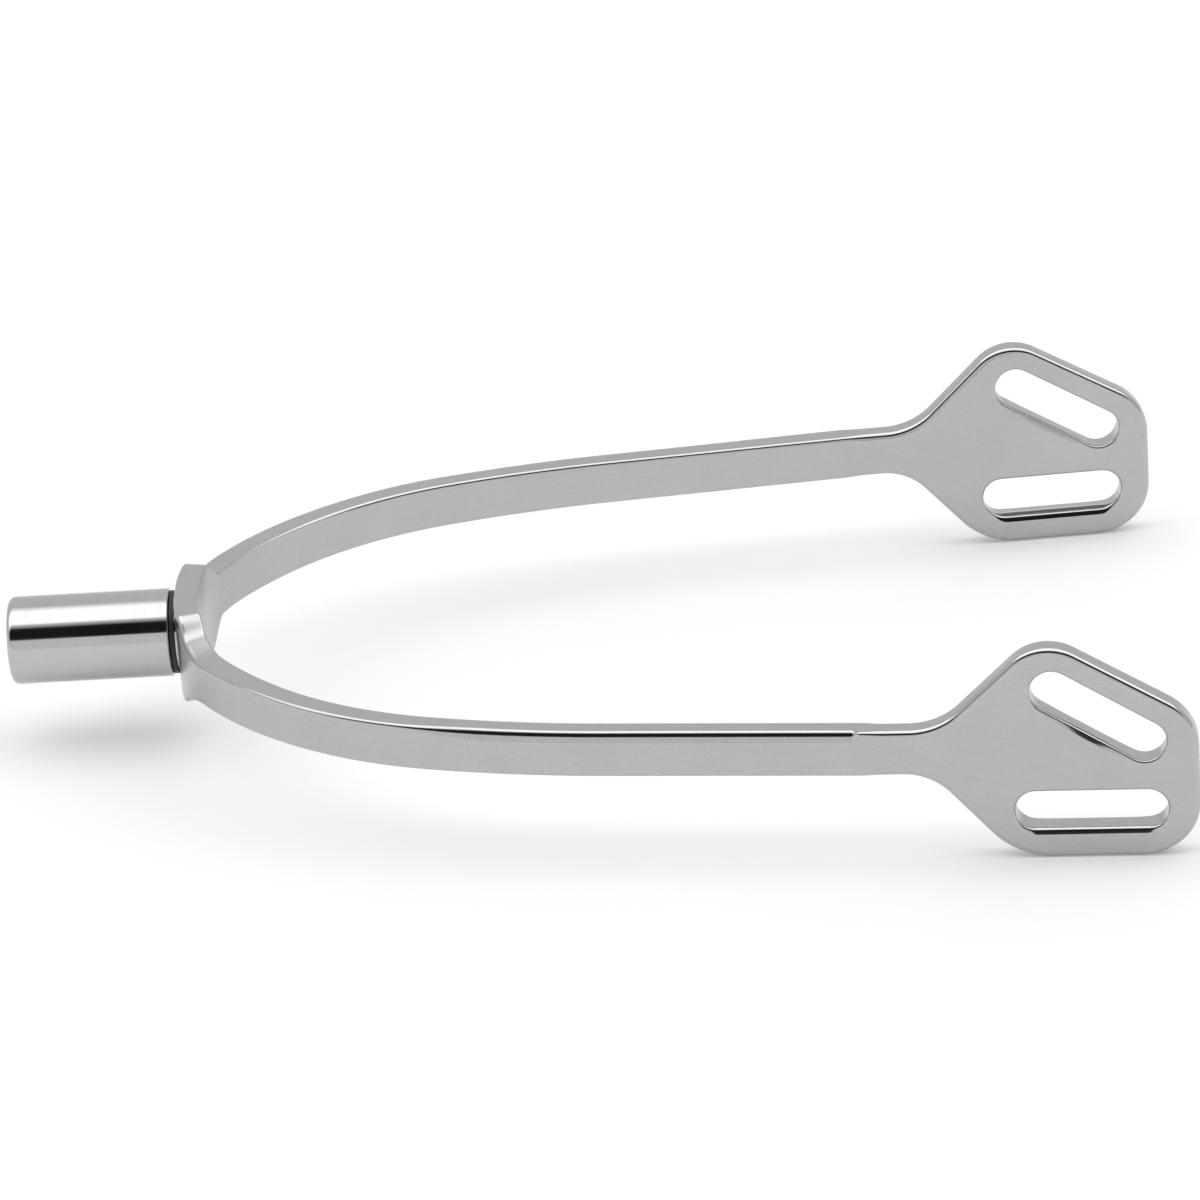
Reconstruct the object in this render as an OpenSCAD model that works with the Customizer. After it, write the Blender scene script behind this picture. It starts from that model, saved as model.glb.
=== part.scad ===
// Riding spur with a smooth roller neck.
// One steel heel band carries an axle that is ground flush inside it. A closed
// roller turns on the axle over a polymer bush, against a thin polymer washer,
// and a hidden ring keeps it on. Straps pass through two slots in each plate.
//
// Frame, millimetres: the origin is the middle of the heel seat, the inner face
// of the heel band. +X points to the toe, +Z points up, and the roller points to -X.

/* [Heel band] */
// Thickness of the bar, inner face to outer face
bar_t = 2.9; // [2.4:0.1:3.6]
// Height of the arms
bar_h = 5.6; // [4.6:0.1:7.0]
// Length of the straight across the back of the heel
heel_flat = 3.2; // [1:0.1:6]
// Middle-line radius of the bend behind the heel
heel_r = 22.7; // [20:0.1:30]
// Angle turned by the heel bend on each side
heel_angle = 34.5; // [30:0.5:38]
// Middle-line radius beside the heel
side_r = 46; // [36:1:56]
// Angle turned beside the heel
side_angle = 39.5; // [32:0.5:42]
// Middle-line radius ahead of the heel
waist_r = 125; // [90:1:160]
// Angle turned ahead of the heel
waist_angle = 9.5; // [6:0.5:10]
// Length of the straight part of each arm
straight_len = 30.8; // [15:0.1:45]

/* [Boss] */
// Height of the boss that backs the roller
boss_h = 11.3; // [10.6:0.1:14]
// Width of the boss between the corners of its flat top
boss_w = 15.2; // [13:0.1:18]
// Sideways run of each boss flank
boss_flank = 1.6; // [1:0.1:2.4]
// Radius at the foot and at the shoulder of each flank
boss_fillet_r = 2; // [1:0.1:2]
// Radius of the raised seat under the washer
seat_r = 4.6; // [4.2:0.1:5.2]
// How far the seat stands out from the back of the band
seat_t = 0.1; // [0.05:0.05:0.4]

/* [Strap plates] */
// Depth that each face of a plate is ground below the arm's
plate_relief = 0.05; // [0.02:0.01:0.2]
// Inward turn of each plate from its arm
plate_bend = 2.2; // [0.2:0.1:4]
// Radius of that turn
plate_bend_r = 30; // [20:1:60]
// Length of each plate from the end of its arm to its front edge
plate_len = 35.2; // [30:0.1:42]
// Start of the flare along the upper edge
flare_top = 6; // [4:0.1:8]
// Start of the flare along the lower edge
flare_low = 5; // [4:0.1:8]
// Peak of the upper edge, along the plate
peak_s = 17.7; // [15:0.1:20]
// Height of that peak above the middle of the arm
peak_z = 14.25; // [12:0.05:16]
// Height of the upper front corner
front_z = 3.75; // [2:0.05:6]
// Depth of the lower edge below the middle of the arm
low_z = 13.5; // [12.5:0.1:15]
// Rear end of the lower edge, along the plate
low_s = 14.4; // [12:0.1:16]
// Fillet where the upper flare leaves the arm
flare_top_r = 8; // [4:0.1:9]
// Fillet where the lower flare leaves the arm
flare_low_r = 7; // [4:0.1:8]
// Radius of the peak
peak_r = 5.8; // [3:0.1:6.5]
// Radius of the upper front corner
front_top_r = 6.7; // [3:0.1:7]
// Radius of the lower front corner
front_low_r = 6.5; // [3:0.1:7.5]
// Radius of the lower rear corner
low_r = 9; // [4:0.1:10]

/* [Strap slots] */
// Length of the upper slot, end to end
top_slot_len = 16.9; // [14:0.1:18]
// Width of the upper slot
top_slot_w = 4.9; // [3:0.1:5]
// Slope of the upper slot, falling forwards
top_slot_angle = 32; // [28:1:36]
// Centre of the upper slot, along the plate
top_slot_s = 24; // [23:0.1:25]
// Height of the centre of the upper slot
top_slot_z = 4.2; // [3:0.1:4.6]
// Length of the lower slot, end to end
low_slot_len = 17.2; // [14:0.1:18]
// Width of the lower slot
low_slot_w = 4.8; // [3:0.1:5]
// Centre of the lower slot, along the plate
low_slot_s = 23; // [22:0.1:24]
// Depth of the centre of the lower slot
low_slot_z = 7.4; // [7:0.1:8]

/* [Roller] */
// Length of the neck, from the back of the band to the end of the roller
neck_len = 20; // [15:0.5:35]
// Outer diameter of the roller
roller_d = 10.5; // [10:0.1:12]
// Radius on the outer edge at the closed end
roller_end_r = 0.7; // [0.3:0.1:1.5]
// Radius on the outer edge at the mouth
roller_mouth_r = 0.25; // [0.1:0.05:0.5]
// Thickness of the closed end
roller_end_t = 2.4; // [1.5:0.1:3]
// Bore of the roller, which the bush is pressed into
roller_bore_d = 7.2; // [6.8:0.1:7.6]

/* [Axle and bearing] */
// Diameter of the axle
axle_d = 5; // [4.4:0.1:5.4]
// Diameter of the axle's tail in the heel band
tail_d = 4; // [3:0.1:4.2]
// Chamfer on the free end of the axle
axle_chamfer = 0.4; // [0.2:0.1:0.6]
// Radial running clearance between axle and bush
bush_clearance = 0.05; // [0.02:0.01:0.1]
// Setback of the bush from the mouth of the roller
bush_setback = 0.3; // [0.2:0.1:1]
// Length of the bush
bush_len = 12.6; // [8:0.1:13]
// Thickness of the washer
washer_t = 0.55; // [0.3:0.05:0.8]
// Outer diameter of the washer
washer_d = 9.9; // [8.5:0.1:10]
// End play of the roller between washer and ring
end_play = 0.08; // [0.04:0.02:0.2]
// Width of the retaining ring
ring_t = 0.7; // [0.5:0.1:1]
// Outer diameter of the retaining ring
ring_d = 6.5; // [6.2:0.1:6.6]
// Depth of the ring's groove in the axle
groove_depth = 0.45; // [0.3:0.05:0.6]
// Opening between the ends of the retaining ring
ring_gap = 1.6; // [1:0.1:2.5]
// Clearance of hidden faces that must not touch
hidden_gap = 0.3; // [0.2:0.05:0.5]

/* [Hidden] */
$fn = 96;
// Fused pieces sink this far into each other
overlap = 0.2;
// Steps in each rounded corner of an outline, and in each bend of the band
arc_steps = 12;
bend_steps = 16;
// A cutter runs this far past the face it opens
overrun = 1;
// Stations along the axle, measured backwards from the heel seat
band_back = bar_t;
seat_back = band_back + seat_t;
washer_back = seat_back + washer_t;
mouth_back = washer_back + end_play;
neck_end = band_back + neck_len;
bush_front = mouth_back + bush_setback;
bush_back = bush_front + bush_len;
ring_front = bush_back + end_play;
ring_back = ring_front + ring_t;
bore_end = neck_end - roller_end_t;
axle_end = bore_end - hidden_gap;
groove_r = axle_d / 2 - groove_depth;
axle_bore_r = axle_d / 2 + bush_clearance;
steel = "#B9BABB";
bright_steel = "#D0D2D4";
black_polymer = "#232325";
bronze = "#A8854F";

// Rounded outlines -----------------------------------------------------------

function unit(v) = v / norm(v);
function cross_z(a, b) = a[0] * b[1] - a[1] * b[0];
function turned_by(v, angle) = [v[0] * cos(angle) - v[1] * sin(angle), v[0] * sin(angle) + v[1] * cos(angle)];
// Directions from corner i of a closed outline to the corners before and after it
function before(p, i) = unit(p[(i + len(p) - 1) % len(p)] - p[i]);
function after(p, i) = unit(p[(i + 1) % len(p)] - p[i]);
function half_angle(p, i) = acos(before(p, i) * after(p, i)) / 2;
// Points of the arc of radius r that rounds corner i, from side to side
function arc_points(p, r, i) =
    let (half = half_angle(p, i))
    let (centre = p[i] + unit(before(p, i) + after(p, i)) * r / sin(half))
    let (start = p[i] + before(p, i) * r / tan(half) - centre)
    let (sweep = sign(cross_z(after(p, i), before(p, i))) * (180 - 2 * half))
    [for (k = [0 : arc_steps]) centre + turned_by(start, sweep * k / arc_steps)];

// Closed anticlockwise outline p, with corner i rounded to radius r[i]
module rounded_outline(p, r) {
    polygon([for (i = [0 : len(p) - 1]) each (r[i] > 0 ? arc_points(p, r[i], i) : [p[i]])]);
}

// Slot outline, centred, with round ends, along X
module slot_outline(length, width) {
    square([length - width, width], center = true);
    for (side = [-1, 1])
        translate([side * (length - width) / 2, 0])
            circle(width / 2);
}

// Middle line of the band ------------------------------------------------------

// A station is [x, y, heading]; the left arm starts at the heel, heading to +Y,
// and turns clockwise towards the toe
function arc_end(s, r, a) =
    [s[0] + r * (sin(s[2]) - sin(s[2] - a)), s[1] - r * (cos(s[2]) - cos(s[2] - a)), s[2] - a];
function arc_stations(s, r, a) = [for (k = [1 : bend_steps]) arc_end(s, r, a * k / bend_steps)];
function straight_end(s, length) = [s[0] + length * cos(s[2]), s[1] + length * sin(s[2]), s[2]];
function last(list) = list[len(list) - 1];
// Stations moved sideways by d, positive to the outside of the band
function beside(line, d) = [for (s = line) [s[0] - d * sin(s[2]), s[1] + d * cos(s[2])]];
function reversed(list) = [for (i = [len(list) - 1 : -1 : 0]) list[i]];
function mirrored(points) = [for (q = points) [q[0], -q[1]]];

heel_middle = [-bar_t / 2, 0, 90];
heel_start = straight_end(heel_middle, heel_flat / 2);
heel_line = arc_stations(heel_start, heel_r, heel_angle);
side_line = arc_stations(last(heel_line), side_r, side_angle);
waist_line = arc_stations(last(side_line), waist_r, waist_angle);
arm_end = straight_end(last(waist_line), straight_len);
plate_turn = arc_stations(arm_end, plate_bend_r, plate_bend);
plate_start = last(plate_turn);
middle_line = concat(heel_line, side_line, waist_line, [arm_end], plate_turn, [straight_end(plate_start, overrun)]);

// Heel band ------------------------------------------------------------------

// Plan of the whole band, both arms, at the thickness of the bar
module band_plan() {
    outer = concat(beside([heel_start], bar_t / 2), beside(middle_line, bar_t / 2));
    inner = concat(beside([heel_start], -bar_t / 2), beside(middle_line, -bar_t / 2));
    polygon(concat(outer, reversed(inner), mirrored(inner), mirrored(reversed(outer))));
}

module band() {
    linear_extrude(bar_h, center = true)
        band_plan();
}

// Outline of a strap plate: along the plate from the arm's end, then height
module plate_outline() {
    half = bar_h / 2;
    difference() {
        rounded_outline(
            [[0, -half], [flare_low, -half], [low_s, -low_z], [plate_len, -low_z],
             [plate_len, front_z], [peak_s, peak_z], [flare_top, half], [0, half]],
            [0, flare_low_r, low_r, front_low_r, front_top_r, peak_r, flare_top_r, 0]);
        translate([top_slot_s, top_slot_z])
            rotate(-top_slot_angle)
                slot_outline(top_slot_len, top_slot_w);
        translate([low_slot_s, -low_slot_z])
            slot_outline(low_slot_len, low_slot_w);
    }
}

module strap_plate() {
    translate([plate_start[0], plate_start[1], 0])
        rotate([90, 0, plate_start[2]])
            linear_extrude(bar_t - 2 * plate_relief, center = true)
                plate_outline();
}

// Front view of the boss: a flat block whose flanks run down into the arms
module boss_outline() {
    half = bar_h / 2 - overlap;
    top = boss_h / 2;
    shoulder = boss_w / 2;
    foot = shoulder + boss_flank;
    tip = foot + 2 * boss_fillet_r;
    f = boss_fillet_r;
    rounded_outline(
        [[-tip, -half], [-foot, -half], [-shoulder, -top], [shoulder, -top], [foot, -half], [tip, -half],
         [tip, half], [foot, half], [shoulder, top], [-shoulder, top], [-foot, half], [-tip, half]],
        [0, f, f, f, f, 0, 0, f, f, f, f, 0]);
}

// The boss follows the heel bend, at the thickness of the bar
module boss() {
    intersection() {
        linear_extrude(boss_h + overrun, center = true)
            band_plan();
        translate([heel_r / 2, 0, 0])
            rotate([90, 0, -90])
                linear_extrude(heel_r)
                    boss_outline();
    }
}

// Round bar along the axle line between two stations behind the heel seat
module axle_bar(front, back, r) {
    translate([-back, 0, 0])
        rotate([0, 90, 0])
            cylinder(h = back - front, r = r);
}

module yoke() {
    color(steel)
        difference() {
            union() {
                band();
                boss();
                strap_plate();
                mirror([0, 1, 0])
                    strap_plate();
                axle_bar(bar_t / 2, seat_back, seat_r);
            }
            axle_bar(-overrun, seat_back + overrun, tail_d / 2);
        }
}

// Axle and roller --------------------------------------------------------------

// Body of revolution about the axle: outline points are [radius, station]
module turned() {
    rotate([0, -90, 0])
        rotate_extrude()
            children();
}

// The tail fills the hole in the band and is ground flush with the heel seat
module axle_pin() {
    color(bright_steel)
        turned()
            difference() {
                polygon([[0, 0], [tail_d / 2, 0], [tail_d / 2, seat_back],
                         [axle_d / 2, seat_back], [axle_d / 2, axle_end - axle_chamfer],
                         [axle_d / 2 - axle_chamfer, axle_end], [0, axle_end]]);
                translate([groove_r, ring_front])
                    square([groove_depth + overrun, ring_t]);
            }
}

module thrust_washer() {
    color(black_polymer)
        turned()
            translate([axle_bore_r, seat_back])
                square([washer_d / 2 - axle_bore_r, washer_t]);
}

module bearing_bush() {
    color(bronze)
        turned()
            translate([axle_bore_r, bush_front])
                square([roller_bore_d / 2 - axle_bore_r, bush_len]);
}

module retaining_ring() {
    color(steel)
        difference() {
            turned()
                translate([groove_r, ring_front])
                    square([ring_d / 2 - groove_r, ring_t]);
            translate([-ring_back - overrun, -ring_gap / 2, 0])
                cube([ring_t + 2 * overrun, ring_gap, ring_d]);
        }
}

module roller_sleeve() {
    bore_r = roller_bore_d / 2;
    outer_r = roller_d / 2;
    color(bright_steel)
        turned()
            difference() {
                rounded_outline(
                    [[-outer_r, mouth_back], [outer_r, mouth_back], [outer_r, neck_end], [-outer_r, neck_end]],
                    [roller_mouth_r, roller_mouth_r, roller_end_r, roller_end_r]);
                translate([-bore_r, mouth_back - overrun])
                    square([2 * bore_r, bore_end - mouth_back + overrun]);
                translate([-roller_d, 0])
                    square([roller_d, 2 * neck_end]);
            }
}

yoke();
axle_pin();
thrust_washer();
bearing_bush();
retaining_ring();
roller_sleeve();
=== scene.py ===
"""Riding spur with a roller neck: the visible pieces, their finishes and the stage."""

import math

import bpy
import numpy as np
from mathutils import Matrix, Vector
from mathutils.geometry import tessellate_polygon


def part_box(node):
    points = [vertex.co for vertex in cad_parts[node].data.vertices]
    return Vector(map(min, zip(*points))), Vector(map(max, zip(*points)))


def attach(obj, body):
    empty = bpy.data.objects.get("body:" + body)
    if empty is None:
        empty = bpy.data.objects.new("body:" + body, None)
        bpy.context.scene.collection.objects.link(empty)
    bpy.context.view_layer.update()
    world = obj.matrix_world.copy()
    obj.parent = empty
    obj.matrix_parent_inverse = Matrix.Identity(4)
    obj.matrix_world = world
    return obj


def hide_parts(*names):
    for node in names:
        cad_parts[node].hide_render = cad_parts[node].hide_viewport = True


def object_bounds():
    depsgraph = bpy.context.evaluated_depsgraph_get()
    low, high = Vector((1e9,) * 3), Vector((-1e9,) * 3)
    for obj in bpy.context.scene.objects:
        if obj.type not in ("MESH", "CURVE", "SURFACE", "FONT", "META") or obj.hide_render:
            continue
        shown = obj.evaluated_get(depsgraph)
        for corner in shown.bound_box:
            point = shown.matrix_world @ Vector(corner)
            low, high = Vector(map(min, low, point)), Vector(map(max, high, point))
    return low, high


bl_info = {
    "name": "Riding spur with a roller neck",
    "version": (1, 0, 0),
    "blender": (4, 5, 0),
    "location": "3D Viewport > Sidebar > Spur",
    "description": "Builds the visible pieces of a riding spur, their finishes and a plain stage",
    "category": "Object",
}

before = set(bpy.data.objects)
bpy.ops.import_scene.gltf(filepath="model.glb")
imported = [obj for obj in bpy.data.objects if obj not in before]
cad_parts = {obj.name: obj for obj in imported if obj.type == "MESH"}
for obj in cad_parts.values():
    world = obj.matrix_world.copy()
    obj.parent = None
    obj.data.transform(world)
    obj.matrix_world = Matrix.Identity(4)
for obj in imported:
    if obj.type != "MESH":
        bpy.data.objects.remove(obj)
CAD_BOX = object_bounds()
MM = 0.001

# The band's middle line, from the middle of the heel: where it starts, a short straight,
# the radius and turn of each bend, the straight arm, then the small bend into the plate
LINE_START = -1.45
HEEL_FLAT = 1.6
HEEL_BENDS = ((22.7, 34.5), (46.0, 39.5), (125.0, 9.5))
ARM_STRAIGHT = 30.8
PLATE_BEND = (30.0, 2.2)
# Outline of a strap plate from the end of its arm, anticlockwise: along, up, radius
PLATE_CORNERS = (
    (5.0, -2.8, 7.0), (14.4, -13.5, 9.0), (35.2, -13.5, 6.5),
    (35.2, 3.75, 6.7), (17.7, 14.25, 5.8), (6.0, 2.8, 8.0),
)
# Strap slots: centre along and up, length, width, slope in degrees
TOP_SLOT = (24.0, 4.2, 16.9, 4.9, -32.0)
LOW_SLOT = (23.0, -7.4, 17.2, 4.8, 0.0)
# Hand-worked edges from top to face, as arcs and facets: angle of the normal at the start
# and at the end, radius or facet length, number of pieces
ARM_BEVEL = ((90, 42, 0.65, 4), (42, 24, 1.6, 3), (24, 17, 0.3, 1), (17, 17, 0.6, 1),
             (17, 0, 0.1, 1))
NARROW_LIP = ((90, 60, 0.3, 2), (60, 50, 1.4, 3), (50, 38, 0.2, 1), (38, 33, 1.2, 1),
              (33, 33, 0.4, 1), (33, 26, 1.2, 1), (26, 0, 0.1, 1))
BROAD_LIP = ((90, 64, 0.3, 2), (64, 50, 3.8, 3), (50, 38, 0.3, 1), (38, 33, 1.6, 1),
             (33, 33, 0.25, 1), (33, 26, 1.6, 1), (26, 0, 0.1, 1))
SOFT_LIP = ((90, 60, 0.3, 2), (60, 50, 0.9, 3), (50, 30, 0.2, 1), (30, 27, 1.2, 1),
            (27, 27, 0.45, 1), (27, 20, 1.2, 1), (20, 0, 0.1, 1))
# Hand-worked lower lips of the slots, by side and face: the edge, its start and stop along
# the slot from its middle, its run-out, and its depth as a share of the whole edge
TOP_LIPS = {
    (-1, "out"): (NARROW_LIP, -3.2, 4.0, 3.2, 0.95), (-1, "in"): (NARROW_LIP, -5, 5, 2, 0.5),
    (1, "out"): (NARROW_LIP, -5, 5, 2, 0.5), (1, "in"): (SOFT_LIP, -4.2, 4.6, 3.4, 1),
}
LOW_LIPS = {
    (-1, "out"): (NARROW_LIP, -7, 7, 0.8, 0.8), (-1, "in"): (NARROW_LIP, -6, 6, 1.5, 0.5),
    (1, "out"): (NARROW_LIP, -6, 6, 1.5, 0.5), (1, "in"): (BROAD_LIP, -6.8, 7, 1, 1),
}
# Points along the band: where the fine steps end, both steps, and the extra points that
# draw the end of the bevel, from that end
FINE_END, FINE_STEP, COARSE_STEP = 14, 0.35, 0.9
BEVEL_STATIONS = (-0.4, 0.0, 0.15, 0.3, 0.6, 1.2, 2.0, 2.6)
# Ranges of distance from the heel over which the shape eases: the fall of the right flank
# at its shoulder and along the arm, with the share of each, and the fall of the left flank
RIGHT_SHOULDER, RIGHT_RUN = (7.0, 9.8), (6.7, 14.5)
RIGHT_SHARES = (0.45, 0.55)
LEFT_FALL = (6.2, 10.6)
# where the right flank's drop and its rolled edge come in and go out
DROP_IN, DROP_OUT = (6.5, 9.5), (12, 25)
ROLL_IN, ROLL_OUT = (4.5, 8.5), (13, 24)
# where the boss's edge radius eases to the arm's, and where the bevel comes in
BOSS_EDGE, EDGE_EASE = 0.3, (18, 34)
BEVEL_IN = (42, 54)
LEFT_BEVEL_SHARE, LEFT_BEVEL_FADE = 0.35, 76
# Stations along the axle, behind the heel seat
SEAT_FRONT = 1.5
SEAT_BACK = 3.0
SEAT_RADIUS = 4.6
AXLE_RADIUS = 2.5
TAIL_RADIUS = 2.0
TAIL_SUNK = 0.1
AXLE_END = 20.2
GROOVE = (16.61, 17.31, 2.05)
WASHER_PLAY = 0.05
# Steps in a rounded edge, an outline's corner, a turned corner and a turn about the axle
CORNER_STEPS = 10
OUTLINE_STEPS = 14
LATHE_STEPS = 6
TURNS = 192
# Points closer than this are one point, in metres
WELD_GRID = 1.7e-6
UP = np.array([0.0, 0.0, 1.0])


# Colours and nodes ------------------------------------------------------------


def linear(hex_colour):
    """Linear red, green and blue of an sRGB hex colour."""
    parts = [int(hex_colour[i:i + 2], 16) / 255 for i in (1, 3, 5)]
    return [p / 12.92 if p <= 0.04045 else ((p + 0.055) / 1.055) ** 2.4 for p in parts]


def add(tree, kind, inputs=None, **settings):
    """Adds a node with its settings; an input is a value or another node's output."""
    made = tree.nodes.new(kind)
    for name, value in settings.items():
        setattr(made, name, value)
    for name, value in (inputs or {}).items():
        if isinstance(value, bpy.types.NodeSocket):
            tree.links.new(value, made.inputs[name])
        else:
            made.inputs[name].default_value = value
    return made


def new_material(name):
    """An empty node material and its tree."""
    material = bpy.data.materials.new(name)
    material.use_nodes = True
    material.node_tree.nodes.clear()
    return material, material.node_tree


def give(obj, material):
    """Puts one material on a piece."""
    obj.data.materials.clear()
    obj.data.materials.append(material)


# Surfaces ---------------------------------------------------------------------


def smooth(x, low, high):
    """0 below low, 1 above high, and a smooth S between."""
    t = np.clip((x - low) / (high - low), 0.0, 1.0)
    return t * t * (3 - 2 * t)


def right_of(direction):
    """Unit vectors a quarter turn clockwise of 2D directions."""
    unit = direction / np.linalg.norm(direction, axis=-1, keepdims=True)
    return np.stack([unit[..., 1], -unit[..., 0]], -1)


def corner_arc(before, corner, after, radius, steps):
    """Rounds corners of anticlockwise outlines, many at once.

    The centre lies on the bisector at radius / sin(half angle), and the normal turns
    evenly from the one of the side before to the one of the side after. Returns points
    and outward normals, with the steps in the next to last axis.
    """
    first = right_of(corner - before)
    second = right_of(after - corner)
    cross = first[..., 0] * second[..., 1] - first[..., 1] * second[..., 0]
    dot = (first * second).sum(-1)
    turn = np.arctan2(cross, dot)
    share = np.linspace(0.0, 1.0, steps + 1)
    angle = np.arctan2(first[..., 1], first[..., 0])[..., None] + turn[..., None] * share
    normal = np.stack([np.cos(angle), np.sin(angle)], -1)
    bisector = (first + second) / (1 + dot)[..., None]
    signed = (radius * np.sign(turn))[..., None]
    centre = corner - bisector * signed
    return centre[..., None, :] + normal * signed[..., None], normal


def rounded_outline(corners, radii, steps, closed):
    """Outline through corners, each rounded; an open one keeps its two end points.

    The outward normal is on the right of the way it runs.
    """
    corners = np.asarray(corners, float)
    count = len(corners)
    points, normals = [], []
    for i in range(count):
        if not closed and i in (0, count - 1):
            a, b = (corners[0], corners[1]) if i == 0 else (corners[-2], corners[-1])
            points.append(corners[i][None])
            normals.append(right_of(b - a)[None])
            continue
        arc, normal = corner_arc(
            corners[i - 1], corners[i], corners[(i + 1) % count],
            np.float64(radii[i]), steps)
        points.append(arc)
        normals.append(normal)
    return np.concatenate(points), np.concatenate(normals)


def grid_faces(rows, columns, wrap_rows=False, wrap_columns=False, flip=False):
    """Quads of a grid of points, as corner numbers."""
    i = np.arange(rows if wrap_rows else rows - 1)[:, None]
    j = np.arange(columns if wrap_columns else columns - 1)[None, :]
    a = i * columns + j
    b = i * columns + (j + 1) % columns
    c = (i + 1) % rows * columns + (j + 1) % columns
    d = (i + 1) % rows * columns + j
    quads = np.stack([a, d, c, b] if flip else [a, b, c, d], -1)
    return quads.reshape(-1, 4)


def weld(shells):
    """Joins shells of (points, normals, polish, faces) where their points meet."""
    points = np.concatenate([s[0] for s in shells])
    normals = np.concatenate([s[1] for s in shells])
    polish = np.concatenate([s[2] for s in shells])
    starts = np.cumsum([0] + [len(s[0]) for s in shells])
    faces = [f + start for s, start in zip(shells, starts) for f in s[3]]
    _, first, back = np.unique(
        np.round(points / WELD_GRID).astype(np.int64), axis=0,
        return_index=True, return_inverse=True)
    back = back.ravel()
    summed = np.zeros((len(first), 3))
    np.add.at(summed, back, normals)
    summed /= np.linalg.norm(summed, axis=1, keepdims=True)
    lists = []
    for block in faces:
        block = back[block]
        keep = np.all(np.diff(np.sort(block, axis=1), axis=1) > 0, axis=1)
        lists += block[keep].tolist()
    return points[first], summed, polish[first], lists


def signed_volume(points, faces):
    """Volume of a closed mesh, positive when its faces point outwards."""
    total = 0.0
    for size in (3, 4):
        block = np.array([f for f in faces if len(f) == size], int)
        for k in range(1, size - 1) if len(block) else ():
            a, b, c = points[block[:, 0]], points[block[:, k]], points[block[:, k + 1]]
            total += np.einsum("ij,ij->", a, np.cross(b, c)) / 6
    return total


def make_piece(name, shells, body, replaced):
    """A mesh of closed shells with exact normals and a polish value at each point."""
    points, normals, polish, faces = weld(shells)
    if signed_volume(points, faces) <= 0:
        raise RuntimeError(f"the faces of {name} don't point outwards")
    mesh = bpy.data.meshes.new(name)
    mesh.from_pydata(points.tolist(), [], faces)
    if mesh.validate():
        raise RuntimeError(f"the mesh of {name} had faces that can't be used")
    mesh.polygons.foreach_set("use_smooth", np.ones(len(mesh.polygons), bool))
    mesh.attributes.new("polish", "FLOAT", "POINT").data.foreach_set(
        "value", polish.astype(np.float32))
    mesh.normals_split_custom_set_from_vertices(normals.tolist())
    piece = bpy.data.objects.new(name, mesh)
    bpy.context.scene.collection.objects.link(piece)
    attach(piece, body)
    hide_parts(*replaced)
    return piece


# Band -------------------------------------------------------------------------


def middle_line(s):
    """Point, heading and side at signed distances s from the heel, in millimetres.

    Each bend adds R (sin h - sin(h - d/R)) along X and -R (cos h - cos(h - d/R)) along Y
    for the distance d gone along it, and the straight adds its length along its heading.
    """
    gone = np.abs(s)
    x = np.full_like(gone, LINE_START)
    y = np.zeros_like(gone)
    heading = np.full_like(gone, math.pi / 2)
    start, h = 0.0, math.pi / 2
    for radius, turn in ((0, HEEL_FLAT), *HEEL_BENDS, (0, ARM_STRAIGHT), PLATE_BEND):
        length = radius * math.radians(turn) if radius else turn
        d = np.clip(gone - start, 0, length)
        if not radius:
            x += d * math.cos(h)
            y += d * math.sin(h)
        else:
            x += radius * (math.sin(h) - np.sin(h - d / radius))
            y -= radius * (math.cos(h) - np.cos(h - d / radius))
            heading -= d / radius
            h -= length / radius
        start += length
    side = np.where(s < 0, -1.0, 1.0)
    return np.stack([x, side * y], -1), heading, side, start


def worked_edge(spans):
    """A hand-worked edge, from the face to the top, as (distance inwards, distance down,
    angle of the normal). It is worked out by adding up short arcs and facets.
    """
    n, z = [0.0], [0.0]
    angles = [90.0]
    for high, low, radius, pieces in spans:
        for k in range(pieces):
            a = math.radians(high - (high - low) * k / pieces)
            b = math.radians(high - (high - low) * (k + 1) / pieces)
            if high == low:
                n.append(n[-1] + radius * math.sin(a))
                z.append(z[-1] - radius * math.cos(a))
            else:
                n.append(n[-1] + radius * (math.cos(b) - math.cos(a)))
                z.append(z[-1] - radius * (math.sin(a) - math.sin(b)))
            angles.append(math.degrees(b))
    n, z, angles = (np.array(v)[::-1] for v in (n, z, angles))
    return n.max() - n, -z, np.radians(angles)


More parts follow.
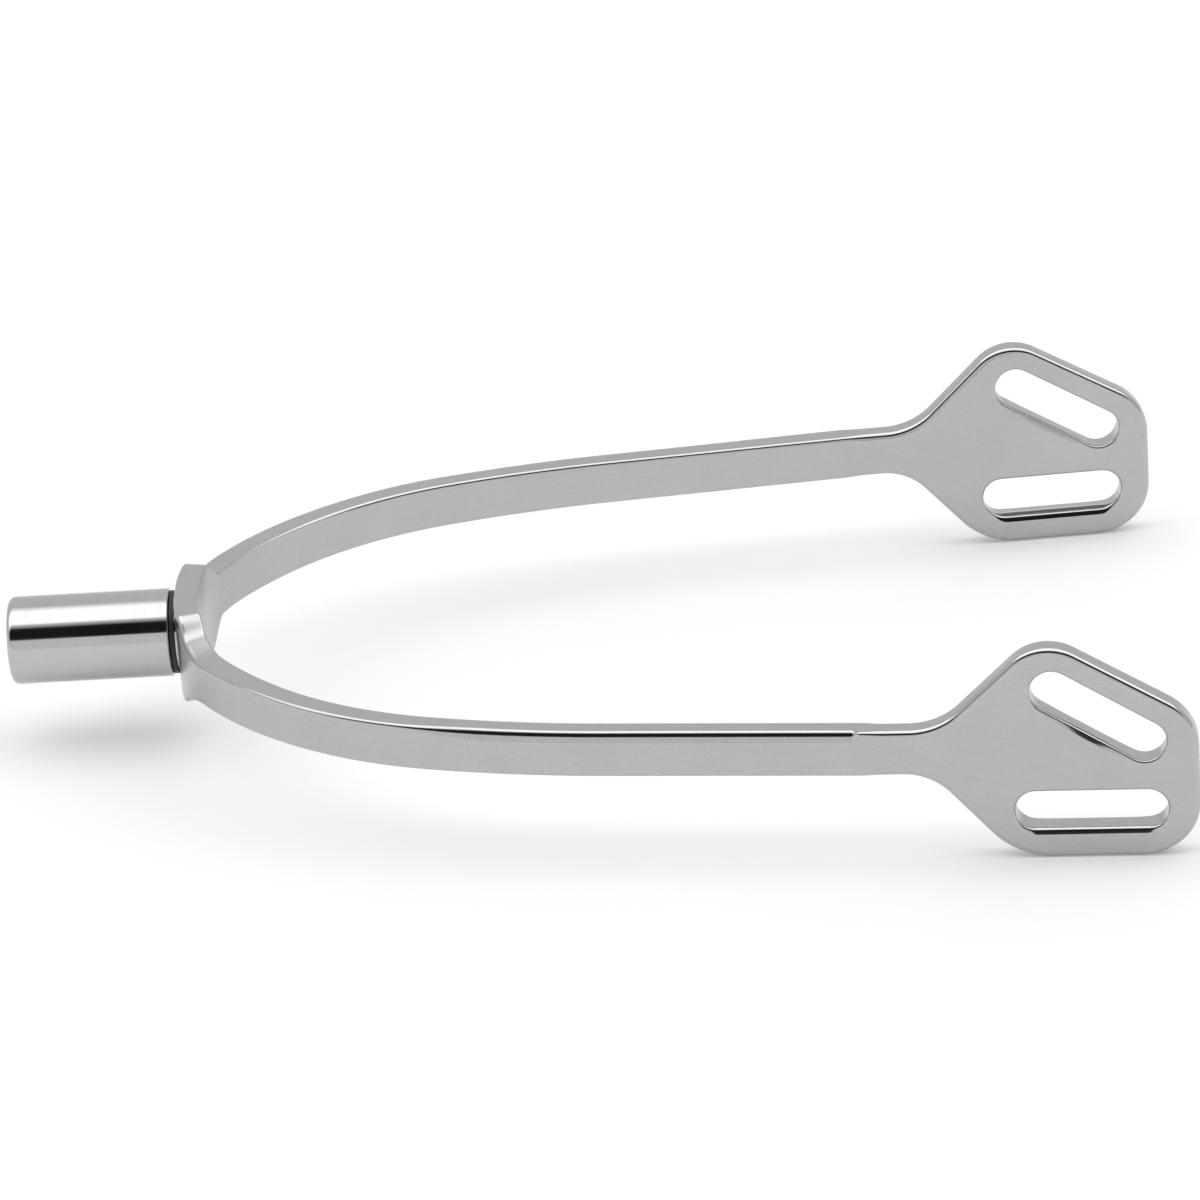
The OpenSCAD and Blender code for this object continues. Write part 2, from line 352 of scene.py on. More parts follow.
def band_shell(sizes):
    """The heel, boss and arms: a rounded four-cornered section carried along the line."""
    fine = np.arange(0, FINE_END, FINE_STEP)
    end = middle_line(np.zeros(1))[3]
    bevel_end = sizes.bevel_end / MM
    coarse = np.arange(FINE_END, bevel_end - 1, COARSE_STEP)
    stop = bevel_end + np.array(BEVEL_STATIONS)
    half = np.concatenate([fine, coarse, stop, [end]])
    s = np.concatenate([-half[:0:-1], half])
    spot, heading, side, _ = middle_line(s)
    away = np.abs(s)
    outward = np.stack([-np.sin(heading), side * np.cos(heading), 0 * s], -1)
    thick = sizes.thickness / MM
    bar = sizes.height / MM / 2
    boss = sizes.boss_height / MM / 2
    plate_thick = thick - 2 * sizes.plate_relief / MM
    # Thickness eases from the arm's to the plate's where the plate has been ground
    t = thick + (plate_thick - thick) * smooth(away, bevel_end - 0.2, bevel_end + 2.5)
    out = t / 2
    # The right flank falls steeply at its shoulder and then runs out along the arm
    right_fall = (RIGHT_SHARES[0] * smooth(away, *RIGHT_SHOULDER)
                  + RIGHT_SHARES[1] * smooth(away, *RIGHT_RUN))
    fall = np.where(side < 0, right_fall, smooth(away, *LEFT_FALL))
    rise = bar + (boss - bar) * (1 - fall)
    drop = np.where(side < 0, sizes.flank_drop / MM, 0) * smooth(away, *DROP_IN)
    drop = drop * (1 - smooth(away, *DROP_OUT))
    rolled = np.where(side < 0, sizes.flank_roll / MM, 0) * smooth(away, *ROLL_IN)
    rolled = rolled * (1 - smooth(away, *ROLL_OUT))
    rim = sizes.plate_rim_radius / MM
    edge = BOSS_EDGE + (sizes.arm_edge_radius / MM - BOSS_EDGE) * smooth(away, *EDGE_EASE)
    edge = edge + (rim - edge) * smooth(away, bevel_end + 0.3, end)
    # The corners in order round the section
    corners = {
        "low_out": np.stack([out, -rise], -1), "top_out": np.stack([out, rise - drop], -1),
        "top_in": np.stack([-t / 2, rise], -1), "low_in": np.stack([-t / 2, -rise], -1),
    }
    order = list(corners)
    points, normals, polish = [], [], []
    share = np.linspace(0, 1, CORNER_STEPS + 1)
    shine = np.where((share > 0) & (share < 1), 1.0, 0.0)
    for i, name in enumerate(order):
        arc, normal = corner_arc(
            corners[order[i - 1]], corners[name], corners[order[(i + 1) % 4]],
            edge + (rolled if name == "top_out" else 0), CORNER_STEPS)
        if name == "top_out":
            inwards, down, angle = worked_edge(ARM_BEVEL)
            bevel = corners[name][:, None] - np.stack([inwards, down], -1)
            facing = np.stack([np.cos(angle), np.sin(angle)], -1)
            # The right arm's bevel ends in a step, and the left arm's slighter one runs out
            left_fade = LEFT_BEVEL_SHARE * smooth(away, LEFT_BEVEL_FADE, bevel_end)
            run_out = np.where(side < 0, 1 - smooth(away, bevel_end, bevel_end + 0.3),
                               LEFT_BEVEL_SHARE - left_fade)
            weight = smooth(away, *BEVEL_IN) * run_out
            arc = arc + (bevel - arc) * weight[:, None, None]
            normal = normal + (facing - normal) * weight[:, None, None]
        points.append(arc)
        normals.append(normal)
        polish.append(np.broadcast_to(shine, arc.shape[:2]))
    points = np.concatenate(points, 1)
    normals = np.concatenate(normals, 1)
    polish = np.concatenate(polish, 1)
    place = np.zeros((*points.shape[:2], 3))
    place[..., :2] = spot[:, None]
    place += points[..., :1] * outward[:, None]
    place[..., 2] += points[..., 1]
    facing = normals[..., :1] * outward[:, None]
    facing[..., 2] += normals[..., 1]
    along = np.gradient(place, s, axis=0)
    along /= np.linalg.norm(along, axis=-1, keepdims=True)
    facing -= (facing * along).sum(-1, keepdims=True) * along
    facing /= np.linalg.norm(facing, axis=-1, keepdims=True)
    faces = grid_faces(len(s), points.shape[1], wrap_columns=True)
    return (place.reshape(-1, 3) * MM, facing.reshape(-1, 3), polish.ravel(), [faces])


def rim_strip(outline, facing, half, radius, rake, worked):
    """Carries a rim along an outline, from the outer face to the inner one.

    The rim is two quarter rounds with a straight between; rake leans the whole rim.
    For the outer and the inner face, worked has an edge and its weight at each outline
    point; where the weight is 1, the round gives way to that edge. Returns (along, up,
    out) points, normals and polish.
    """
    share = np.linspace(0, 1, CORNER_STEPS + 1) * math.pi / 2
    insets, outs, sines, cosines = [], [], [], []
    for (spans, weight), sign in zip(worked, (1, -1)):
        inwards, down, lip_angle = worked_edge(spans)
        w = weight[:, None]
        inset = radius * (1 - np.sin(share)) * (1 - w) + down * w
        out = half - radius * (1 - np.cos(share)) * (1 - w) - inwards * w
        sine = np.sin(share) * (1 - w) + np.sin(lip_angle) * w
        cosine = np.cos(share) * (1 - w) + np.cos(lip_angle) * w
        way = slice(None, None, sign)
        insets.append(inset[:, way])
        outs.append(sign * out[:, way])
        sines.append(sine[:, way])
        cosines.append(sign * cosine[:, way])
    inset, out, sine, cosine = (np.concatenate(v, 1)[..., None]
                                for v in (insets, outs, sines, cosines))
    points = np.concatenate([outline[:, None] - facing[:, None] * inset, out], -1)
    points[..., 1] += math.tan(rake) * points[..., 2]
    lean = np.array([0.0, math.sin(rake), math.cos(rake)])
    wall = np.concatenate([facing, np.zeros((len(facing), 1))], 1)
    wall -= (wall @ lean)[:, None] * lean
    wall /= np.linalg.norm(wall, axis=1, keepdims=True)
    normals = wall[:, None] * sine
    normals[..., 2:] += cosine
    normals /= np.linalg.norm(normals, axis=-1, keepdims=True)
    round_part = np.sin(2 * np.concatenate([share, share[::-1]])) > 0.01
    return points, normals, np.broadcast_to(round_part.astype(float), points.shape[:2])


def slot_outline(along, up, length, width, degrees):
    """A slot's outline, run clockwise so that its normals point into the opening, with
    the distance along the slot from its middle and how much each point faces up."""
    x, y = length / 2, width / 2
    corners = np.array([[-x, -y], [-x, y], [x, y], [x, -y]])
    outline, facing = rounded_outline(corners, [0.98 * y] * 4, OUTLINE_STEPS, True)
    ahead = np.roll(outline, -1, 0) - outline
    counts = np.ceil(np.linalg.norm(ahead, axis=1) / 0.6).astype(int)
    row = np.repeat(np.arange(len(outline)), counts)
    share = np.concatenate([np.arange(n) / n for n in counts])[:, None]
    outline, facing = outline[row] + ahead[row] * share, facing[row]
    c, s = math.cos(math.radians(degrees)), math.sin(math.radians(degrees))
    turn = np.array([[c, s], [-s, c]])
    return outline @ turn + [along, up], facing @ turn, outline[:, 0], facing[:, 1]


def lip_weight(position, upward, start, stop, ease, most):
    """How much of the lower side of a slot is hand-worked, from start to stop."""
    bump = smooth(position, start - ease, start + ease) * (
        1 - smooth(position, stop - ease, stop + ease))
    return most * bump * np.clip(upward, 0, 1) ** 2


def plate_shell(sizes, side):
    """One strap plate: its rim, its two slots' rims and its two flat faces."""
    end = middle_line(np.zeros(1))[3]
    spot, heading, _, _ = middle_line(np.array([end]))
    ahead = np.array([math.cos(heading[0]), math.sin(heading[0]), 0.0])
    outward = np.array([-math.sin(heading[0]), math.cos(heading[0]), 0.0])
    origin = np.array([*spot[0], 0.0])
    half = sizes.thickness / MM / 2 - sizes.plate_relief / MM
    bar = sizes.height / MM / 2
    corners = [(0, -bar)] + [c[:2] for c in PLATE_CORNERS] + [(0, bar)]
    radii = [0] + [c[2] for c in PLATE_CORNERS] + [0]
    outline, facing = rounded_outline(corners, radii, OUTLINE_STEPS, False)
    rim = sizes.plate_rim_radius / MM
    lip = sizes.slot_edge_radius / MM
    rake = sizes.slot_rake
    none = (NARROW_LIP, np.zeros(len(outline)))
    strips = [rim_strip(outline, facing, half, rim, 0.0, (none, none))]
    for slot, lean, lips in ((TOP_SLOT, 0.0, TOP_LIPS), (LOW_SLOT, -rake, LOW_LIPS)):
        outline, facing, position, upward = slot_outline(*slot)
        worked = [(lips[side, face][0], lip_weight(position, upward, *lips[side, face][1:]))
                  for face in ("out", "in")]
        strips.append(rim_strip(outline, facing, half, lip, lean, worked))
    mirror = np.array([1.0, side, 1.0])
    shells = []
    for k, (points, normals, polish) in enumerate(strips):
        placed, faced = ((p[..., :1] * ahead + p[..., 2:] * outward
                          + p[..., 1:2] * UP) for p in (points, normals))
        faces = grid_faces(*points.shape[:2], wrap_rows=k > 0, flip=side > 0)
        shells.append([((placed + origin) * mirror).reshape(-1, 3) * MM,
                       (faced * mirror).reshape(-1, 3), polish.ravel(), [faces]])
    for column, out in ((0, 1.0), (-1, -1.0)):
        loops = [points[:, column] for points, _, _ in strips]
        triangles = np.array(tessellate_polygon(
            [[(p[0], p[1], 0.0) for p in loop] for loop in loops]), int)
        flat = np.concatenate(loops)
        a, b, c = (flat[triangles[:, k], :2] for k in range(3))
        area = np.cross(np.append(b - a, np.zeros((len(a), 1)), 1),
                        np.append(c - a, np.zeros((len(a), 1)), 1))[:, 2]
        wrong = (area > 0) == (out * side > 0)
        triangles[wrong] = triangles[wrong][:, ::-1]
        placed = flat[:, :1] * ahead + flat[:, 2:] * outward + flat[:, 1:2] * UP
        faced = np.broadcast_to(outward * out * mirror, placed.shape)
        shells.append([((placed + origin) * mirror) * MM, faced.copy(), np.zeros(len(flat)),
                       [triangles[np.abs(area) > 1e-9]]])
    return shells


# Turned pieces ----------------------------------------------------------------


def lathe_shell(corners, radii, closed):
    """A rounded outline of (station, radius) turned about the axle line.

    A point at station d and radius r goes to (-d, r cos a, r sin a). An open outline
    starts and ends on the axis, where its first and last rows shrink to one point.
    """
    outline, facing = rounded_outline(corners, radii, LATHE_STEPS, closed)
    angle = np.arange(TURNS) * 2 * math.pi / TURNS
    ring = np.stack([0 * angle, np.cos(angle), np.sin(angle)], -1)
    axis = np.array([-1.0, 0.0, 0.0])
    points, normals = (v[:, None, :1] * axis + v[:, None, 1:] * ring for v in (outline, facing))
    faces = [grid_faces(len(outline), TURNS, wrap_rows=closed, wrap_columns=True)]
    flat_points = points.reshape(-1, 3) * MM
    if not closed:
        last = len(outline) - 1
        j = np.arange(TURNS)
        after = (j + 1) % TURNS
        quads = faces[0][TURNS:-TURNS]
        start = np.stack([0 * j, TURNS + after, TURNS + j], -1)
        ring_before = (last - 1) * TURNS
        stop = np.stack([ring_before + j, ring_before + after, 0 * j + last * TURNS], -1)
        faces = [quads, start, stop]
    polish = np.ones(len(flat_points))
    return (flat_points, normals.reshape(-1, 3), polish, faces)


# Finishes ---------------------------------------------------------------------


def satin_stainless(finish):
    """Stainless steel, forged, belt-finished and hand polished.

    Even light grey faces with fine lengthwise hairlines in tint and roughness, a soft
    mottle in the tint alone, and rounded edges polished to bright and dark lines.
    """
    material, tree = new_material("Satin_polished_stainless_steel")
    here = add(tree, "ShaderNodeTexCoord").outputs["Object"]
    # Belt marks are about 0.02 mm wide; drawn 0.25 mm wide and 4 mm long so they show
    stretched = add(tree, "ShaderNodeMapping", {"Vector": here, "Scale": (0.06, 1, 1)})
    hairlines = add(tree, "ShaderNodeTexNoise", {
        "Vector": stretched.outputs[0], "Scale": 4000, "Detail": 3, "Roughness": 0.6})
    # Fine grain, drawn at 0.3 mm
    grain = add(tree, "ShaderNodeTexNoise", {
        "Vector": here, "Scale": 3300, "Detail": 2, "Roughness": 0.55})
    # Hand polishing leaves patches about 6 mm across
    mottle = add(tree, "ShaderNodeTexNoise", {
        "Vector": here, "Scale": 160, "Detail": 2, "Roughness": 0.5})
    polish = add(tree, "ShaderNodeAttribute", attribute_name="polish")
    both = add(tree, "ShaderNodeMath", {0: hairlines.outputs[0], 1: grain.outputs[0]},
               operation="ADD")
    tint = add(tree, "ShaderNodeMath", {0: both.outputs[0], 1: mottle.outputs[0]},
               operation="ADD")
    shade = add(tree, "ShaderNodeMapRange", {
        "Value": tint.outputs[0], "From Min": 1.1, "From Max": 1.9})
    base = add(tree, "ShaderNodeMix", {
        "Factor": shade.outputs[0], "A": (*finish.steel_shadow, 1), "B": (*finish.steel, 1)},
        data_type="RGBA")
    face = add(tree, "ShaderNodeMapRange", {
        "Value": hairlines.outputs[0], "From Min": 0.2, "From Max": 0.8,
        "To Min": finish.face_roughness - 0.012, "To Max": finish.face_roughness + 0.012})
    rough = add(tree, "ShaderNodeMix", {
        "Factor": polish.outputs["Fac"], "A": face.outputs[0], "B": finish.edge_roughness},
        data_type="FLOAT")
    bump = add(tree, "ShaderNodeBump", {
        "Height": both.outputs[0], "Strength": 1.0, "Distance": 1.2e-6})
    shader = add(tree, "ShaderNodeBsdfPrincipled", {
        "Base Color": base.outputs["Result"], "Metallic": 1.0,
        "Roughness": rough.outputs["Result"], "Normal": bump.outputs[0]})
    add(tree, "ShaderNodeOutputMaterial", {"Surface": shader.outputs[0]})
    return material


def turned_metal(name, light, dark, roughness, line_width, slope):
    """Metal turned on a lathe: lines round the axle, as wide as line_width millimetres.

    The eye gets a mirror or a sheen drawn out into fine rings.
    """
    material, tree = new_material(name)
    here = add(tree, "ShaderNodeTexCoord").outputs["Object"]
    ringed = add(tree, "ShaderNodeMapping", {"Vector": here, "Scale": (1, 0.02, 0.02)})
    lines = add(tree, "ShaderNodeTexNoise", {
        "Vector": ringed.outputs[0], "Scale": 1000 / line_width, "Detail": 3, "Roughness": 0.6})
    broad = add(tree, "ShaderNodeTexNoise", {
        "Vector": here, "Scale": 250, "Detail": 2, "Roughness": 0.5})
    base = add(tree, "ShaderNodeMix", {
        "Factor": lines.outputs[0], "A": (*dark, 1), "B": (*light, 1)}, data_type="RGBA")
    rough = add(tree, "ShaderNodeMapRange", {
        "Value": broad.outputs[0], "From Min": 0.3, "From Max": 0.7,
        "To Min": roughness * 0.8, "To Max": roughness * 1.25})
    bump = add(tree, "ShaderNodeBump", {
        "Height": lines.outputs[0], "Strength": 1.0, "Distance": slope * line_width * MM})
    shader = add(tree, "ShaderNodeBsdfPrincipled", {
        "Base Color": base.outputs["Result"], "Metallic": 1.0,
        "Roughness": rough.outputs[0], "Normal": bump.outputs[0]})
    add(tree, "ShaderNodeOutputMaterial", {"Surface": shader.outputs[0]})
    return material


def moulded_polymer(name, light, dark, roughness):
    """Moulded or turned polymer: a dull even skin with a faint grain of 0.2 mm."""
    material, tree = new_material(name)
    here = add(tree, "ShaderNodeTexCoord").outputs["Object"]
    grain = add(tree, "ShaderNodeTexNoise", {
        "Vector": here, "Scale": 5000, "Detail": 2, "Roughness": 0.5})
    patches = add(tree, "ShaderNodeTexNoise", {
        "Vector": here, "Scale": 600, "Detail": 1, "Roughness": 0.5})
    base = add(tree, "ShaderNodeMix", {
        "Factor": patches.outputs[0], "A": (*dark, 1), "B": (*light, 1)}, data_type="RGBA")
    rough = add(tree, "ShaderNodeMapRange", {
        "Value": grain.outputs[0], "From Min": 0.3, "From Max": 0.7,
        "To Min": roughness - 0.06, "To Max": roughness + 0.06})
    bump = add(tree, "ShaderNodeBump", {
        "Height": grain.outputs[0], "Strength": 1.0, "Distance": 3e-6})
    shader = add(tree, "ShaderNodeBsdfPrincipled", {
        "Base Color": base.outputs["Result"], "Roughness": rough.outputs[0],
        "Normal": bump.outputs[0], "IOR": 1.5})
    add(tree, "ShaderNodeOutputMaterial", {"Surface": shader.outputs[0]})
    return material


# Settings ---------------------------------------------------------------------


class SpurBandSizes(bpy.types.PropertyGroup):
    """Sizes of the heel band, its boss and its strap plates."""

    thickness: bpy.props.FloatProperty(
        name="Bar thickness", description="Inner face to outer face of the band",
        default=2.9 * MM, min=2.4 * MM, max=3.6 * MM, unit="LENGTH", subtype="DISTANCE")
    height: bpy.props.FloatProperty(
        name="Arm height", description="Height of the arms",
        default=5.6 * MM, min=4.6 * MM, max=7 * MM, unit="LENGTH", subtype="DISTANCE")
    boss_height: bpy.props.FloatProperty(
        name="Boss height", description="Height of the boss that backs the roller",
        default=11.3 * MM, min=10.6 * MM, max=14 * MM, unit="LENGTH", subtype="DISTANCE")
    flank_drop: bpy.props.FloatProperty(
        name="Flank drop", description="How far the ground flank falls to the outside",
        default=0.4 * MM, min=0, max=1.2 * MM, unit="LENGTH", subtype="DISTANCE")
    flank_roll: bpy.props.FloatProperty(
        name="Flank roll", description="Extra radius on the outer edge of the flank",
        default=0.5 * MM, min=0, max=1 * MM, unit="LENGTH", subtype="DISTANCE")
    arm_edge_radius: bpy.props.FloatProperty(
        name="Arm edge radius", description="Radius on the edges of the arms",
        default=0.5 * MM, min=0.3 * MM, max=1.2 * MM, unit="LENGTH", subtype="DISTANCE")
    bevel_end: bpy.props.FloatProperty(
        name="Bevel end", description="Distance from the heel where the polished bevel stops",
        default=96.4 * MM, min=70 * MM, max=96.6 * MM, unit="LENGTH", subtype="DISTANCE")
    plate_relief: bpy.props.FloatProperty(
        name="Plate relief", description="Depth that each face of a plate is ground down",
        default=0.05 * MM, min=0, max=0.2 * MM, unit="LENGTH", subtype="DISTANCE")
    plate_rim_radius: bpy.props.FloatProperty(
        name="Plate rim radius", description="Radius round the rim of a plate",
        default=0.75 * MM, min=0.3 * MM, max=1.2 * MM, unit="LENGTH", subtype="DISTANCE")
    slot_edge_radius: bpy.props.FloatProperty(
        name="Slot edge radius", description="Radius round the rim of a slot",
        default=0.45 * MM, min=0.2 * MM, max=0.8 * MM, unit="LENGTH", subtype="DISTANCE")
    slot_rake: bpy.props.FloatProperty(
        name="Slot rake", description="Lean of the lower slot's walls, down on the outside",
        default=0.12, min=0, max=0.5, unit="ROTATION", subtype="ANGLE")


class SpurRollerSizes(bpy.types.PropertyGroup):
    """Sizes of the roller and of the washer in front of it."""

    diameter: bpy.props.FloatProperty(
        name="Roller diameter", description="Outer diameter of the roller",
        default=10.5 * MM, min=10 * MM, max=12 * MM, unit="LENGTH", subtype="DISTANCE")
    end_radius: bpy.props.FloatProperty(
        name="End radius", description="Radius on the edge of the closed end",
        default=0.8 * MM, min=0.3 * MM, max=1.5 * MM, unit="LENGTH", subtype="DISTANCE")
    bore: bpy.props.FloatProperty(
        name="Roller bore", description="Diameter of the bore that holds the bush",
        default=7.2 * MM, min=6.8 * MM, max=7.6 * MM, unit="LENGTH", subtype="DISTANCE")


class SpurFinishes(bpy.types.PropertyGroup):
    """Colours and surface finishes."""

    steel: bpy.props.FloatVectorProperty(
        name="Steel", description="Colour of the satin steel",
        default=linear("#BBBBBC"), min=0, max=1, subtype="COLOR")
    steel_shadow: bpy.props.FloatVectorProperty(
        name="Steel in the marks", description="Colour of the satin steel in its fine marks",
        default=linear("#B3B3B4"), min=0, max=1, subtype="COLOR")
    roller: bpy.props.FloatVectorProperty(
        name="Roller steel", description="Colour of the mirror-polished roller",
        default=linear("#C0C0C1"), min=0, max=1, subtype="COLOR")
    washer: bpy.props.FloatVectorProperty(
        name="Washer", description="Colour of the black polymer washer",
        default=linear("#1D1D1F"), min=0, max=1, subtype="COLOR")
    face_roughness: bpy.props.FloatProperty(
        name="Face roughness", description="Roughness of the satin faces",
        default=0.28, min=0.05, max=0.6, subtype="FACTOR")
    edge_roughness: bpy.props.FloatProperty(
        name="Edge roughness", description="Roughness of the polished edges",
        default=0.12, min=0.02, max=0.5, subtype="FACTOR")
    roller_roughness: bpy.props.FloatProperty(
        name="Roller roughness", description="Roughness of the mirror-polished roller",
        default=0.09, min=0.02, max=0.4, subtype="FACTOR")


# Operators --------------------------------------------------------------------


class SPUR_OT_band(bpy.types.Operator):
    """Builds the steel band with its boss and strap plates"""

    bl_idname = "spur.band"
    bl_label = "Heel band"

    def execute(self, context):
        sizes = context.scene.spur_band
        shells = [band_shell(sizes), *plate_shell(sizes, 1.0), *plate_shell(sizes, -1.0)]
        seat = [(SEAT_BACK, 0), (SEAT_BACK, SEAT_RADIUS), (SEAT_FRONT, SEAT_RADIUS),
                (SEAT_FRONT, 0)]
        shells.append(lathe_shell(seat, [0, 0.06, 0.1, 0], False))
        piece = make_piece("heel_band", shells, "band", ["yoke"])
        give(piece, satin_stainless(context.scene.spur_finishes))
        return {"FINISHED"}


class SPUR_OT_axle(bpy.types.Operator):
    """Builds the axle, with its tail just under the ground heel face"""

    bl_idname = "spur.axle"
    bl_label = "Axle"

    def execute(self, context):
        front, back, groove = GROOVE
        corners = [
            (AXLE_END, 0), (AXLE_END, AXLE_RADIUS), (back, AXLE_RADIUS), (back, groove),
            (front, groove), (front, AXLE_RADIUS), (SEAT_BACK, AXLE_RADIUS),
            (SEAT_BACK, TAIL_RADIUS), (TAIL_SUNK, TAIL_RADIUS), (TAIL_SUNK, 0),
        ]
        radii = [0, 0.3, 0.04, 0.04, 0.04, 0.04, 0.04, 0.04, 0.04, 0]
        shells = [lathe_shell(corners, radii, False)]
        piece = make_piece("axle", shells, "band", ["axle_pin"])
        give(piece, turned_metal(
            "Turned_steel_axle", linear("#C2C3C6"), linear("#A9AAAE"), 0.2, 0.15, 0.02))
        return {"FINISHED"}


class SPUR_OT_washer(bpy.types.Operator):
    """Builds the thin polymer washer between the boss and the roller"""

    bl_idname = "spur.washer"
    bl_label = "Thrust washer"

    def execute(self, context):
        low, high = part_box("thrust_washer")
        front, back = -high.x / MM, -low.x / MM
        outer, inner = high.y / MM, AXLE_RADIUS + WASHER_PLAY
        corners = [(front, inner), (back, inner), (back, outer), (front, outer)]
        shells = [lathe_shell(corners, [0.04] * 4, True)]
        piece = make_piece("polymer_washer", shells, "band", ["thrust_washer"])
        colour = context.scene.spur_finishes.washer
        give(piece, moulded_polymer("Black_acetal_washer", colour, linear("#141416"), 0.5))
        return {"FINISHED"}


class SPUR_OT_bearing(bpy.types.Operator):
    """Finishes the hidden bush and retaining ring"""

    bl_idname = "spur.bearing"
    bl_label = "Bush and retaining ring"

    def execute(self, context):
        give(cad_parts["bearing_bush"], moulded_polymer(
            "Filled_polymer_bush", linear("#B59363"), linear("#98784C"), 0.42))
        give(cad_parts["retaining_ring"], turned_metal(
            "Blued_spring_steel", linear("#5C6068"), linear("#43464E"), 0.3, 0.15, 0.02))
        return {"FINISHED"}


class SPUR_OT_roller(bpy.types.Operator):
    """Builds the mirror-polished roller with its closed end"""

    bl_idname = "spur.roller"
    bl_label = "Roller"

    def execute(self, context):
        sizes = context.scene.spur_roller
        low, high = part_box("roller_sleeve")
        mouth, end = -high.x / MM, -low.x / MM
        outer, bore = sizes.diameter / MM / 2, sizes.bore / MM / 2
        bottom = AXLE_END + 0.3
        corners = [
            (end, 0), (end, outer), (mouth, outer), (mouth, bore), (bottom, bore), (bottom, 0),
        ]
        radii = [0, sizes.end_radius / MM, 0.25, 0.1, 0.2, 0]
        shells = [lathe_shell(corners, radii, False)]
        piece = make_piece(
            "neck_roller", shells, "roller", ["roller_sleeve"])
        finish = context.scene.spur_finishes
        give(piece, turned_metal(
            "Mirror_polished_stainless_roller", finish.roller, linear("#B6B6B8"),
            finish.roller_roughness, 0.3, 0.006))
        return {"FINISHED"}


class SPUR_OT_stage(bpy.types.Operator):
    """Sets the pale floor, the soft studio light and the camera"""

    bl_idname = "spur.stage"
    bl_label = "Stage"

    def execute(self, context):
        make_floor(CAD_BOX[0].z)
        make_light()
        make_camera()
        return {"FINISHED"}


# Stage ------------------------------------------------------------------------


def make_floor(height):
    """A wide pale floor under the object."""
    size = 12.0
    mesh = bpy.data.meshes.new("floor")
    corners = np.array([[-1, -1, 0], [1, -1, 0], [1, 1, 0], [-1, 1, 0]]) * size
    corners[:, 2] = height
    mesh.from_pydata(corners.tolist(), [], [(0, 1, 2, 3)])
    floor = bpy.data.objects.new("floor", mesh)
    bpy.context.scene.collection.objects.link(floor)
    material, tree = new_material("Pale_paper_floor")
    here = add(tree, "ShaderNodeTexCoord").outputs["Object"]
    fibre = add(tree, "ShaderNodeTexNoise", {"Vector": here, "Scale": 30, "Detail": 2})
    tone = add(tree, "ShaderNodeMix", {
        "Factor": fibre.outputs[0], "A": (*linear("#E0E0E0"), 1), "B": (*linear("#E4E4E4"), 1)},
        data_type="RGBA")
    shader = add(tree, "ShaderNodeBsdfPrincipled", {
        "Base Color": tone.outputs["Result"], "Roughness": 0.9,
        "Emission Color": (1, 1, 1, 1), "Emission Strength": 0.2})
    add(tree, "ShaderNodeOutputMaterial", {"Surface": shader.outputs[0]})
    give(floor, material)


# The light tent: brightness by angle over the object, from the horizon in front, over
# the top and down to the horizon behind. A long dark card hangs in front, a softbox
# overhead, and the back wall is grey.
TENT = (
    (0, 0.9), (24.5, 0.88), (25.5, 0.015), (54, 0.015), (57, 0.3), (64, 0.9),
    (68, 2.0), (104, 2.0), (120, 0.82), (180, 0.78),
)


def make_light():
    """A world that is a plain light tent, with the same light all along X."""
    world = bpy.data.worlds.new("light_tent")
    bpy.context.scene.world = world
    world.use_nodes = True
    tree = world.node_tree
    tree.nodes.clear()
    way = add(tree, "ShaderNodeTexCoord").outputs["Generated"]
    axes = add(tree, "ShaderNodeSeparateXYZ", {0: way})
    forward = add(tree, "ShaderNodeMath", {0: axes.outputs["Y"], 1: -1.0}, operation="MULTIPLY")
    angle = add(tree, "ShaderNodeMath", {0: axes.outputs["Z"], 1: forward.outputs[0]},
                operation="ARCTAN2")
    share = add(tree, "ShaderNodeMath", {0: angle.outputs[0], 1: math.pi}, operation="DIVIDE")
    ramp = add(tree, "ShaderNodeValToRGB", {0: share.outputs[0]})
    brightest = max(level for _, level in TENT)
    stops = ramp.color_ramp.elements
    while len(stops) < len(TENT):
        stops.new(0.5)
    for stop, (degrees, _) in zip(stops, TENT):
        stop.position = degrees / 180
    for stop, (_, level) in zip(stops, TENT):
        stop.color = (*[level / brightest] * 3, 1)
    # Towards the two ends of the tent the light evens out
    end = add(tree, "ShaderNodeMath", {0: axes.outputs["X"]}, operation="ABSOLUTE")
    fade = add(tree, "ShaderNodeMapRange", {
        "Value": end.outputs[0], "From Min": 0.75, "From Max": 0.92},
        interpolation_type="SMOOTHSTEP")
    even = [0.75 / brightest] * 3
    mixed = add(tree, "ShaderNodeMix", {
        "Factor": fade.outputs[0], "A": ramp.outputs[0], "B": (*even, 1)}, data_type="RGBA")
    light = add(tree, "ShaderNodeBackground", {
        "Color": mixed.outputs["Result"], "Strength": brightest})
    add(tree, "ShaderNodeOutputWorld", {"Surface": light.outputs[0]})


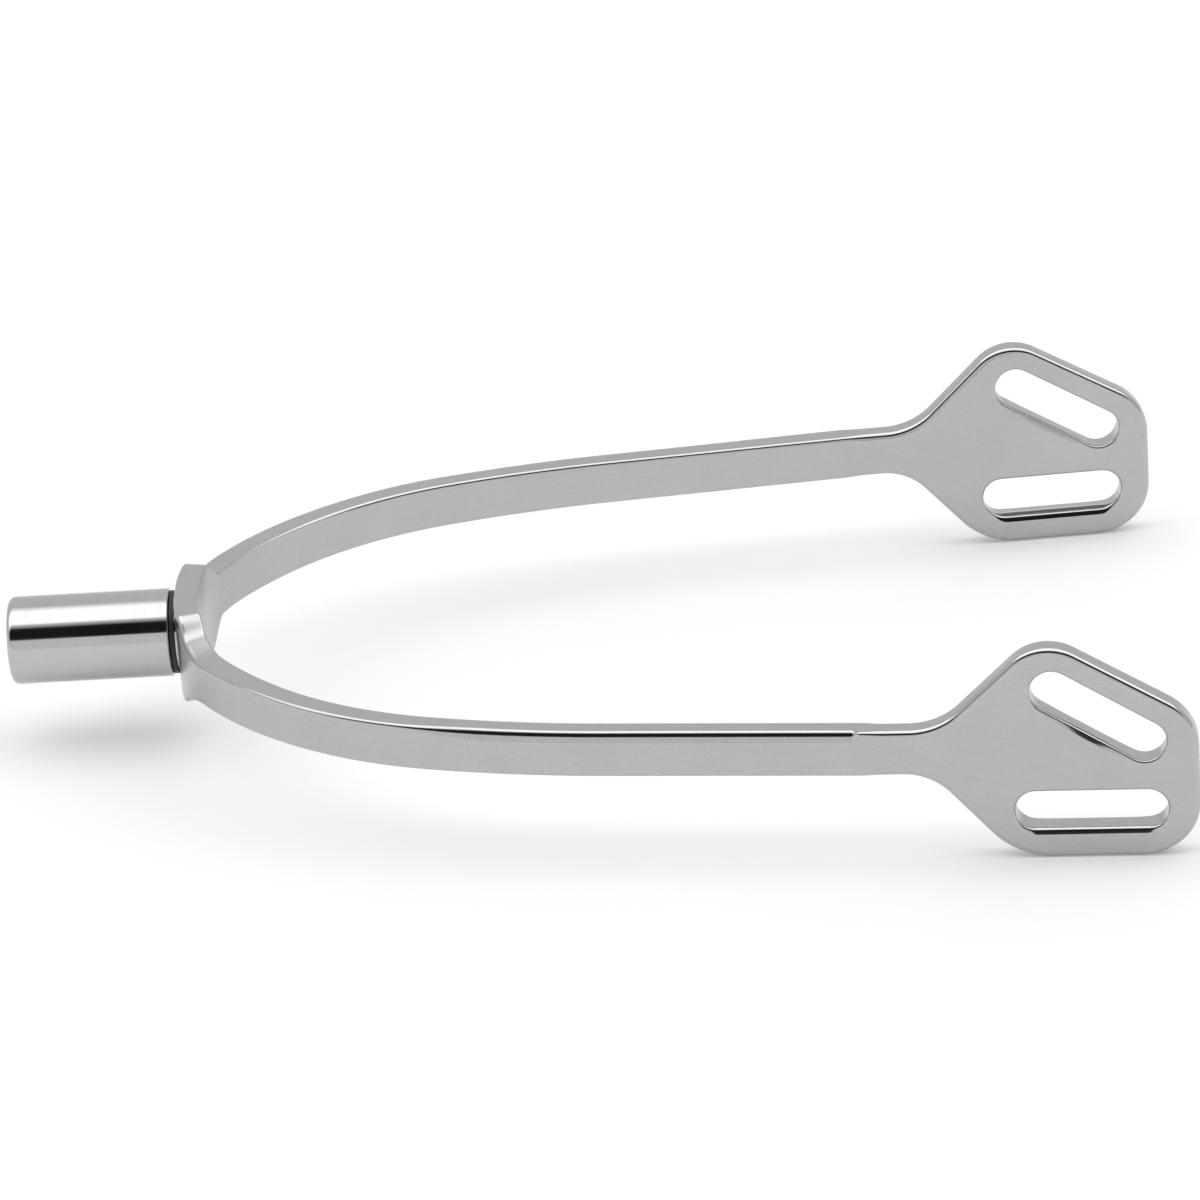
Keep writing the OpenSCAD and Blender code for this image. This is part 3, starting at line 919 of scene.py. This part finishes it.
def make_camera():
    """A long lens from the right side, about 26 degrees above the floor."""
    azimuth, elevation, roll = (math.radians(a) for a in (2.374, 25.827, -4.180))
    target = np.array([47.277, 1.259, 0.476]) * MM
    distance = 742.0 * MM
    back = np.array([math.sin(azimuth) * math.cos(elevation),
                     -math.cos(azimuth) * math.cos(elevation), math.sin(elevation)])
    level = np.cross(UP, back)
    level /= np.linalg.norm(level)
    upright = np.cross(back, level)
    right = level * math.cos(roll) + upright * math.sin(roll)
    up = np.cross(back, right)
    data = bpy.data.cameras.new("camera")
    data.sensor_width = 36
    data.lens = 187.57
    data.clip_start, data.clip_end = 0.05, 60
    camera = bpy.data.objects.new("camera", data)
    bpy.context.scene.collection.objects.link(camera)
    pose = np.eye(4)
    pose[:3, 0], pose[:3, 1], pose[:3, 2], pose[:3, 3] = right, up, back, target + back * distance
    camera.matrix_world = Matrix(pose.tolist())
    bpy.context.scene.camera = camera
    bpy.context.scene.view_settings.view_transform = "Standard"


# Panel and registration -------------------------------------------------------


class SPUR_PT_panel(bpy.types.Panel):
    """Lists the sizes, the finishes and the pieces"""

    bl_idname = "SPUR_PT_panel"
    bl_label = "Riding spur"
    bl_space_type = "VIEW_3D"
    bl_region_type = "UI"
    bl_category = "Spur"

    def draw(self, context):
        for settings in (context.scene.spur_band, context.scene.spur_roller,
                         context.scene.spur_finishes):
            box = self.layout.box()
            for name in settings.__annotations__:
                box.prop(settings, name)
        for operator in OPERATORS:
            self.layout.operator(operator.bl_idname)


GROUPS = {
    "spur_band": SpurBandSizes, "spur_roller": SpurRollerSizes, "spur_finishes": SpurFinishes,
}
OPERATORS = (SPUR_OT_band, SPUR_OT_axle, SPUR_OT_washer, SPUR_OT_bearing, SPUR_OT_roller,
             SPUR_OT_stage)


def register():
    for kind in (*GROUPS.values(), *OPERATORS, SPUR_PT_panel):
        bpy.utils.register_class(kind)
    for name, kind in GROUPS.items():
        setattr(bpy.types.Scene, name, bpy.props.PointerProperty(type=kind))


def unregister():
    for name in GROUPS:
        delattr(bpy.types.Scene, name)
    for kind in (SPUR_PT_panel, *reversed(OPERATORS), *GROUPS.values()):
        bpy.utils.unregister_class(kind)


def main():
    register()
    bpy.ops.spur.band()
    bpy.ops.spur.axle()
    bpy.ops.spur.washer()
    bpy.ops.spur.bearing()
    bpy.ops.spur.roller()
    bpy.ops.spur.stage()


if __name__ == "__main__":
    main()
